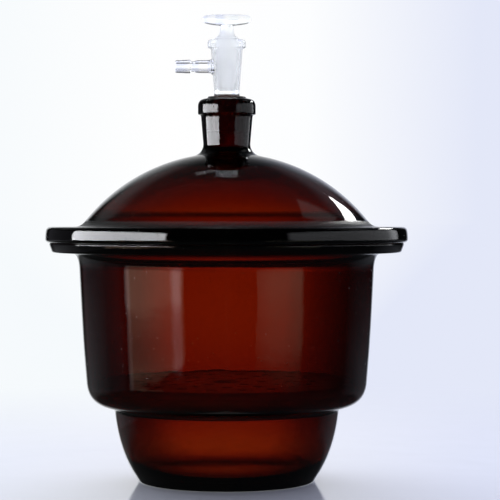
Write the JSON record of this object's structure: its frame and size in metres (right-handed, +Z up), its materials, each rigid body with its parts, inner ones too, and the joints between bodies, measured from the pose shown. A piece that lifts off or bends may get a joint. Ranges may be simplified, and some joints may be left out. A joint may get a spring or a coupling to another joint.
{
  "type": "vacuum desiccator",
  "caption": "Amber glass vacuum desiccator: flanged bowl, domed lid, perforated porcelain plate, and a stopcock with a hose arm and T-handle plug.",
  "frame": {"origin": "centre of the bowl's foot, on the surface the foot stands on", "axes": "+Z up along the bowl's axis; -X along the stopcock's hose arm; the T-handle runs along X"},
  "size_m": [0.3, 0.3, 0.3867],
  "materials": {
    "base_bowl": "gloss",
    "lid": "gloss",
    "desiccator_plate": "gloss",
    "stopcock_body": "gloss",
    "stopcock_plug": "satin"
  },
  "bodies": {
    "bowl": {"base_bowl": "base_bowl"},
    "lid": {"lid": "lid"},
    "plate": {"desiccator_plate": "desiccator_plate"},
    "stopcock": {"stopcock_body": "stopcock_body"},
    "plug": {"stopcock_plug": "stopcock_plug"}
  },
  "joints": [
    {"name": "lid_lift", "type": "slide", "parent": "bowl", "child": "lid", "axis": [0, 0, 1], "range_m": [0, 0.25]},
    {"name": "plate_lift", "type": "slide", "parent": "bowl", "child": "plate", "axis": [0, 0, 1], "range_m": [0, 0.115]},
    {"name": "stopcock_swivel", "type": "hinge", "parent": "lid", "child": "stopcock", "pos_m": [0, 0, 0.303], "axis": [0, 0, 1], "continuous": true},
    {"name": "plug_turn", "type": "hinge", "parent": "stopcock", "child": "plug", "pos_m": [0, 0, 0.3436], "axis": [0, 0, 1], "continuous": true}
  ]
}
